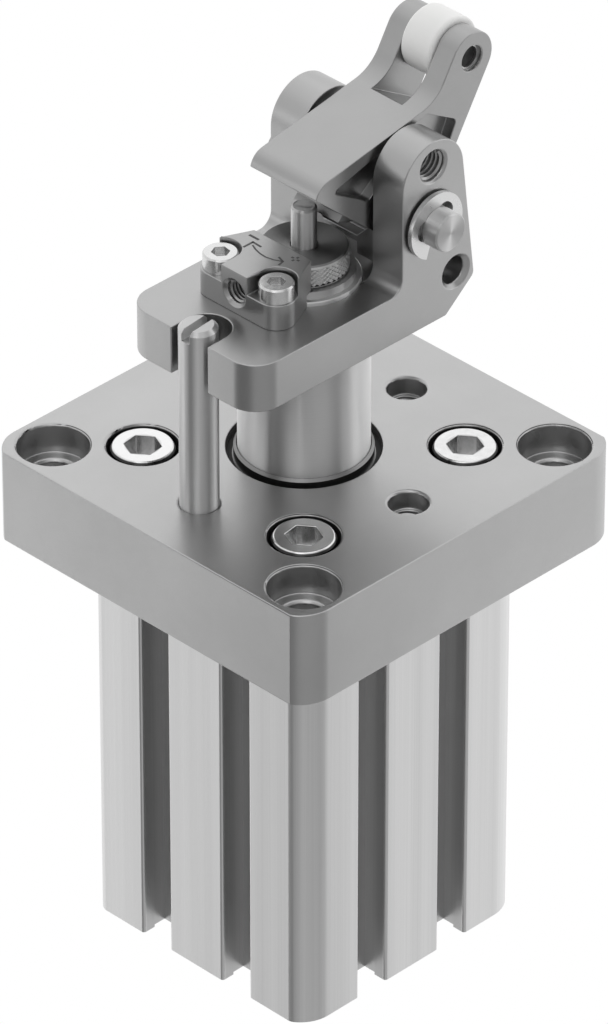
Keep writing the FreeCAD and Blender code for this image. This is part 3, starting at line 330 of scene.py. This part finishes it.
# Pieces whose own finish differs from that of the others in their slot.
SPECIAL_FINISHES = {
    "flange_screws": plated_screw("flange_screw_plating_shaded", 0.84, 0.16, FLANGE_SCREW_PITCH),
    "clamp_screws": plated_screw("cap_screw_plating", 0.74, 0.2),
    "lever_axle": faced_steel("axle_steel", 0.66, PIVOT, ACROSS, 0.42),
    "roller_pin": faced_steel("roller_pin_steel", 0.05, LEVER_TIP, ACROSS, 0.34),
}
MARK_FINISH = etched_mark("etched_mark")

MERGE_DISTANCE = 0.001 * MM
COPLANAR_ANGLE = math.radians(0.4)
SMOOTH_ANGLE = math.radians(28)
BEVEL_ANGLE = math.radians(35)


def finish_of(node):
    return SPECIAL_FINISHES.get(node) or FINISHES[slot_of[node]]


def paint(obj, finish):
    obj.data.materials.clear()
    obj.data.materials.append(finish)


def mark_sharp(edit):
    """Smooth shading, broken at the sharper edges."""
    for face in edit.faces:
        face.smooth = True
    for edge in edit.edges:
        edge.smooth = edge.is_manifold and edge.calc_face_angle(0) < SMOOTH_ANGLE


def new_piece(name, edit, body, finish):
    """A finished mesh as a piece that rides a body."""
    mesh = bpy.data.meshes.new(name)
    edit.to_mesh(mesh)
    edit.free()
    obj = bpy.data.objects.new(name, mesh)
    bpy.context.scene.collection.objects.link(obj)
    paint(obj, finish)
    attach(obj, body)
    return obj


def merged_copy(node):
    edit = bmesh.new()
    edit.from_mesh(nodes[node].data)
    bmesh.ops.remove_doubles(edit, verts=edit.verts, dist=MERGE_DISTANCE)
    return edit


def weigh_upright_edges(edit, shortest, half_width):
    """Marks for the bevel the long sharp edges along Z that lie in the outside faces."""
    weight = edit.edges.layers.float.new("bevel_weight_edge")
    for edge in edit.edges:
        run = edge.verts[0].co - edge.verts[1].co
        upright = abs(run.z) > 0.999 * run.length and run.length > shortest
        outside = max(abs(reach) for reach in edge.verts[0].co.xy) > half_width
        edge[weight] = float(upright and outside and not edge.smooth)


def softened(node, edge, segments=2, upright_only=False, clamped=True):
    """A merged copy of a CAD node that stands for it, its sharp edges broken by some millimetres."""
    edit = merged_copy(node)
    bmesh.ops.dissolve_limit(edit, angle_limit=COPLANAR_ANGLE, verts=edit.verts, edges=edit.edges)
    mark_sharp(edit)
    if upright_only:
        weigh_upright_edges(edit, 20 * MM, BARREL_FACE - 0.05 * MM)
    obj = new_piece(f"{node}_finished", edit, body_of[node], finish_of(node))
    if edge:
        bevel = obj.modifiers.new("edge", "BEVEL")
        bevel.width = edge * MM
        bevel.segments = segments
        bevel.limit_method = "WEIGHT" if upright_only else "ANGLE"
        bevel.angle_limit = BEVEL_ANGLE
        bevel.harden_normals = True
        bevel.use_clamp_overlap = clamped
    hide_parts(node)


# Broken edges in millimetres. Those of the second table would come out too small if the bevel
# could be held back by short edges nearby.
SOFT_EDGES = {
    "flange_plate": 0.35,
    "flange_screws": 0.2,
    "clamp_screws": 0.12,
    "guide_pin": 0.15,
    "lever_axle": 0.1,
    "axle_clips": 0.12,
    "roller": 0.0,
    "roller_pin": 0.0,
    "piston_rod": 0.0,
    "absorber_body": 0.0,
    "absorber_plunger": 0.0,
    "rod_wiper": 0.0,
}
BARREL_EDGE = 0.75
FREE_EDGES = {"lever_carrier": 0.3, "lever": 0.25, "clamp_block": 0.22}

for node, obj in nodes.items():
    paint(obj, finish_of(node))
for node, edge in SOFT_EDGES.items():
    softened(node, edge)
softened("barrel", BARREL_EDGE, segments=3, upright_only=True, clamped=False)
for node, edge in FREE_EDGES.items():
    softened(node, edge, clamped=False)

# Half the width of a thread's ridge at its foot and at its crest, as shares of the pitch.
THREAD_FOOT, THREAD_CREST = 0.36, 0.07
THREAD_STEPS = 40


def thread(name, body, mouth, inward, turns, host, radius=3.96, depth=0.55, pitch=1.25):
    """A thread's ridge in millimetres, M8 unless told otherwise, wound down a hole of the host."""
    inward = Vector(inward)
    side = inward.orthogonal().normalized()
    other = inward.cross(side)
    foot, crest = THREAD_FOOT * pitch, THREAD_CREST * pitch
    section = [(radius, -foot), (radius - depth, -crest), (radius - depth, crest), (radius, foot)]
    edit = bmesh.new()
    rows = []
    for step in range(int(turns * THREAD_STEPS) + 1):
        angle = math.tau * step / THREAD_STEPS
        out = side * math.cos(angle) + other * math.sin(angle)
        start = Vector(mouth) + inward * (step * pitch / THREAD_STEPS)
        rows.append([
            edit.verts.new((start + out * across + inward * along) * MM) for across, along in section
        ])
    for first, second in zip(rows, rows[1:]):
        for a, b, c, d in zip(first, second, second[1:], first[1:]):
            edit.faces.new((a, b, c, d))
        edit.faces.new((first[0], first[-1], second[-1], second[0]))
    edit.faces.new(rows[0])
    edit.faces.new(rows[-1][::-1])
    bmesh.ops.recalc_face_normals(edit, faces=edit.faces)
    mark_sharp(edit)
    new_piece(name, edit, body, finish_of(host))


def knurled_ring(radius=10.9, cells=44, rows=4, depth=0.16, pad=0.68, plain=0.15):
    """The adjusting ring with a diamond knurl in place of its plain rim, in millimetres.

    The crests are flat pads that take a share of each diamond, over a plain band at the foot.
    """
    node = "adjusting_ring"
    edit = merged_copy(node)
    inside = (radius - 0.02) * MM
    rim = [face for face in edit.faces if all(vert.co.xy.length > inside for vert in face.verts)]
    heights = sorted(vert.co.z for face in rim for vert in face.verts)
    low, high = heights[0], heights[-1]
    bmesh.ops.delete(edit, geom=rim, context="FACES_ONLY")
    mark_sharp(edit)
    tall = (high - low - plain * MM) / rows

    def spot(column, height, sunk):
        angle = math.tau * column / cells
        reach = (radius - sunk) * MM
        return edit.verts.new((math.cos(angle) * reach, math.sin(angle) * reach, height))

    band = [low, low + plain * MM]
    for column in range(2 * cells):
        foot = [spot(column / 2, height, depth / 2) for height in band]
        next_foot = [spot((column + 1) / 2, height, depth / 2) for height in band]
        edit.faces.new((foot[0], next_foot[0], next_foot[1], foot[1]))
    for row in range(rows):
        middle = low + plain * MM + tall * (row + 0.5)
        for column in range(cells):
            for shift, height in ((0.0, middle), (0.5, middle + tall / 2)):
                centre = column + shift
                top = min(height + tall / 2, high)
                ends = [(0, height - tall / 2), (0.5, height), (0, top), (-0.5, height)]
                groove = [spot(centre + aside, level, depth) for aside, level in ends]
                crest = [
                    spot(centre + aside * pad, height + (level - height) * pad, 0.0)
                    for aside, level in ends
                ]
                edit.faces.new(crest)
                for k in range(4):
                    if (groove[k].co - groove[k - 1].co).length > 1e-7:
                        edit.faces.new((groove[k - 1], groove[k], crest[k], crest[k - 1]))
    obj = new_piece("adjusting_ring_finished", edit, body_of[node], finish_of(node))
    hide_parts(node)


def etched(name, strokes, height):
    """Marks etched into the clamp block's top, as thin dull strips."""
    edit = bmesh.new()
    for width, *stroke in strokes:
        points = [Vector((*point, height)) for point in stroke]
        sides = []
        for k, point in enumerate(points):
            ahead = points[min(k + 1, len(points) - 1)] - points[max(k - 1, 0)]
            aside = UPRIGHT.cross(ahead).normalized() * width / 2
            sides.append([edit.verts.new((point + aside) * MM), edit.verts.new((point - aside) * MM)])
        for first, second in zip(sides, sides[1:]):
            edit.faces.new((first[0], first[1], second[1], second[0]))
    bmesh.ops.recalc_face_normals(edit, faces=edit.faces)
    new_piece(name, edit, "rod", MARK_FINISH)


# The mouths of the threaded holes in millimetres: the ears', the clamp block's and the pin holes'.
EAR_THREAD_OUT, EAR_THREAD_HALF, EAR_THREAD_UP = 20.9, 20.6, 214.1
BLOCK_THREAD_MOUTH = (-22.0, 0, 189.0)
PIN_THREAD_OUT, PIN_THREAD_UP = 35, 129.9

for name, side in (("near", -1), ("far", 1)):
    mouth = (EAR_THREAD_OUT, side * EAR_THREAD_HALF, EAR_THREAD_UP)
    thread(f"{name}_ear_thread", "rod", mouth, (0, -side, 0), 6.6, "lever_carrier")
thread("block_thread", "rod", BLOCK_THREAD_MOUTH, (1, 0, 0), 6.7, "clamp_block", 2.96, 0.45, 1.0)
for name, x, y in (("front", 0, -1), ("back", 0, 1), ("side", 1, 0)):
    mouth = (x * PIN_THREAD_OUT, y * PIN_THREAD_OUT, PIN_THREAD_UP)
    thread(f"{name}_pin_thread", "base", mouth, (0, 0, -1), 10.2, "flange_plate")
knurled_ring()

# Each mark is a width and the points of its line, in millimetres from the rod's axis; they lie
# just over the block's top.
MARKS = [
    (0.7, (-9.48, 8.75), (-9.46, 5.55)),
    (0.6, (-14.3, 5.85), (-11.06, 5.85)),
    (0.6, (-11.1, 6.15), (-11.3, 2.9)),
    (0.45, (-12.1, 5.0), (-12.9, 3.3), (-13.5, 1.2), (-13.65, -0.9), (-13.2, -3.1), (-12.2, -5.2)),
    (0.55, (-11.5, -3.1), (-12.2, -5.3)),
    (0.55, (-12.1, -5.2), (-14.0, -5.6)),
    (0.6, (-10.5, -6.5), (-9.75, -6.5)),
    (0.6, (-8.95, -6.5), (-8.2, -6.5)),
    (0.6, (-9.35, -6.0), (-9.35, -5.2)),
    (0.6, (-9.35, -7.0), (-9.35, -7.8)),
]
MARK_HEIGHT = 195.12
etched("etched_marks", MARKS, MARK_HEIGHT)

# How bright the floor is in mirrors, and the surroundings low down to all but the camera, by the
# angle in degrees round the Z axis, counted from straight in front of the camera.
FLOOR_GLOW = [
    (-180, 0.95), (-84, 1.0), (-77, 0.2), (-22, 0.24), (-2, 0.48), (45, 0.45),
    (74, 0.36), (85, 0.92), (180, 0.98),
]
SKY_GLOW = [
    (-180, 1.2), (-140, 1.0), (-100, 0.78), (-62, 0.8), (-50, 0.2), (-34, 0.2),
    (-12, 0.5), (35, 0.5), (62, 0.2), (78, 0.25), (98, 1.1), (180, 1.2),
]
OVERHEAD = 1.0
# The upward parts of a direction between which the surroundings fade into what is overhead.
OVERHEAD_FADE = (0.62, 0.92)
FRONT_TURN = math.radians(135)
# The floor lies so far below the part that no edge of its glow bends near the part's foot.
FLOOR_DROP, FLOOR_RADIUS = 300 * MM, 9.0


def angle_ramp(tree, place, stops):
    """Grey by the angle round the Z axis."""
    turned = add_node(tree, "ShaderNodeMapping", {"Vector": place, "Rotation": (0, 0, FRONT_TURN)})
    parts = add_node(tree, "ShaderNodeSeparateXYZ", {0: turned.outputs[0]}).outputs
    angle = add_node(tree, "ShaderNodeMath", {0: parts[1], 1: parts[0]}, operation="ARCTAN2")
    inputs = {"Value": angle.outputs[0], "From Min": -math.pi, "From Max": math.pi}
    share = add_node(tree, "ShaderNodeMapRange", inputs).outputs[0]
    made = add_node(tree, "ShaderNodeValToRGB", {0: share})
    ramp = made.color_ramp
    for degrees, level in stops:
        stop = ramp.elements.new(degrees / 360 + 0.5)
        stop.color = (*grey(level), 1)
    ramp.elements.remove(ramp.elements[0])
    ramp.elements.remove(ramp.elements[len(ramp.elements) - 1])
    return made.outputs[0]


def floor():
    """White to the camera, glowing by the angle in mirrors, and pale to all else."""
    edit = bmesh.new()
    drop = Matrix.Translation((0, 0, -FLOOR_DROP))
    bmesh.ops.create_circle(edit, cap_ends=True, segments=96, radius=FLOOR_RADIUS, matrix=drop)
    mesh = bpy.data.meshes.new("floor")
    edit.to_mesh(mesh)
    edit.free()
    obj = bpy.data.objects.new("floor", mesh)
    bpy.context.scene.collection.objects.link(obj)
    finish = Finish("pale_floor", roughness=0.9, colour=(0.82, 0.82, 0.82))
    rays = finish.node("ShaderNodeLightPath").outputs
    glow = finish.node("ShaderNodeEmission", {"Color": angle_ramp(finish.tree, finish.place, FLOOR_GLOW)})
    white = finish.node("ShaderNodeEmission", {"Color": WHITE})
    layers = finish.shader.outputs[0]
    for ray, light in (("Is Glossy Ray", glow), ("Is Camera Ray", white)):
        inputs = {0: rays[ray], 1: layers, 2: light.outputs[0]}
        layers = finish.node("ShaderNodeMixShader", inputs).outputs[0]
    finish.tree.links.new(layers, finish.tree.nodes["Material Output"].inputs["Surface"])
    obj.data.materials.append(finish.material)


def world():
    """White to the camera; to all else a soft studio that is brighter behind and at the sides."""
    made = bpy.data.worlds.new("studio")
    made.use_nodes = True
    tree = made.node_tree
    tree.nodes.clear()
    way = add_node(tree, "ShaderNodeTexCoord").outputs["Generated"]
    round_it = angle_ramp(tree, way, SKY_GLOW)
    high = add_node(tree, "ShaderNodeSeparateXYZ", {0: way}).outputs[2]
    low_end, high_end = OVERHEAD_FADE
    inputs = {"Value": high, "From Min": low_end, "From Max": high_end}
    share = add_node(tree, "ShaderNodeMapRange", inputs, interpolation_type="SMOOTHSTEP").outputs[0]
    inputs = {0: share, MIX_FIRST: round_it, MIX_SECOND: (*grey(OVERHEAD), 1)}
    level = add_node(tree, "ShaderNodeMix", inputs, data_type="RGBA").outputs[MIX_RESULT]
    soft = add_node(tree, "ShaderNodeBackground", {"Color": level}).outputs[0]
    white = add_node(tree, "ShaderNodeBackground", {"Color": WHITE}).outputs[0]
    seen = add_node(tree, "ShaderNodeLightPath").outputs["Is Camera Ray"]
    both = add_node(tree, "ShaderNodeMixShader", {0: seen, 1: soft, 2: white}).outputs[0]
    add_node(tree, "ShaderNodeOutputWorld", {0: both})
    bpy.context.scene.world = made


# Each lamp is its name, place, size across and up, and power in watts; all look at one target.
LAMP_TARGET = Vector((0, 0, 0.13))
LAMPS = [
    ("left_strip", (-1.5, 0.9, 0.35), (1.2, 0.5), 0.6),
    ("right_strip", (1.0, -1.5, 0.35), (1.2, 0.5), 2.0),
    ("key_box", (-1.3, -0.7, 1.5), (0.9, 0.9), 2.6),
]


def facing(way):
    """The turn that points a lamp or a camera along a direction."""
    return way.to_track_quat("-Z", "Y").to_euler()


def lamp(name, place, size, power):
    """A square soft box that looks at the target."""
    data = bpy.data.lights.new(name, "AREA")
    data.shape = "RECTANGLE"
    data.size, data.size_y = size
    data.energy = power
    obj = bpy.data.objects.new(name, data)
    obj.location = place
    obj.rotation_euler = facing(LAMP_TARGET - Vector(place))
    bpy.context.scene.collection.objects.link(obj)


CAMERA_AZIMUTH, CAMERA_ELEVATION = math.radians(-45), math.radians(34.01)
CAMERA_AIM, CAMERA_DISTANCE = Vector((0, 0, 0.116)), 2.215
SENSOR_WIDTH, FOCAL_LENGTH = 36.0, 324.1


def camera():
    flat, rise = math.cos(CAMERA_ELEVATION), math.sin(CAMERA_ELEVATION)
    back = Vector((math.sin(CAMERA_AZIMUTH) * flat, -math.cos(CAMERA_AZIMUTH) * flat, rise))
    data = bpy.data.cameras.new("camera")
    data.sensor_width = SENSOR_WIDTH
    data.lens = FOCAL_LENGTH
    data.clip_start, data.clip_end = 0.05, 50.0
    obj = bpy.data.objects.new("camera", data)
    obj.location = CAMERA_AIM + back * CAMERA_DISTANCE
    obj.rotation_euler = facing(-back)
    bpy.context.scene.collection.objects.link(obj)
    bpy.context.scene.camera = obj


floor()
world()
for name, place, size, power in LAMPS:
    lamp(name, place, size, power)
camera()
bpy.context.scene.view_settings.view_transform = "Standard"
